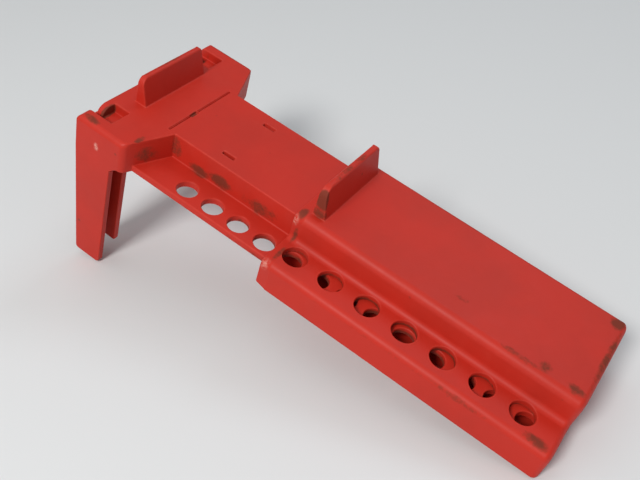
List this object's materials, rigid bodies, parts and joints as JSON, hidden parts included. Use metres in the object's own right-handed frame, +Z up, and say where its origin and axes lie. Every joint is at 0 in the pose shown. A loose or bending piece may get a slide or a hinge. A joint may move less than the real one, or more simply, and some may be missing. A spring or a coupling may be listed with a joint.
{
  "type": "valve handle lockout",
  "caption": "Telescoping moulded-plastic lockout for a lever valve: T-headed slide with two legs inside a sleeve, padlock holes along both rails.",
  "frame": {"origin": "on the underside of the slide's top plate, on its centre-line, 85.6 mm behind the head: the face that rests on the valve's lever", "axes": "+X along the slide from the head to the tail, +Z up out of the top plate, legs pointing down -Z, lock rail on the -Y side"},
  "size_m": [0.2108, 0.08, 0.0894],
  "materials": {
    "slide_plastic": "satin moulded nylon, handled and dirty at the edges",
    "sleeve_plastic": "satin moulded nylon, worn pale along the rounded edges"
  },
  "bodies": {
    "slide": {"inner_slide": "slide_plastic"},
    "sleeve": {"outer_sleeve": "sleeve_plastic"}
  },
  "joints": [
    {"name": "sleeve_travel", "type": "slide", "parent": "slide", "child": "sleeve", "axis": [1, 0, 0], "range_m": [-0.0025, 0.09]}
  ]
}
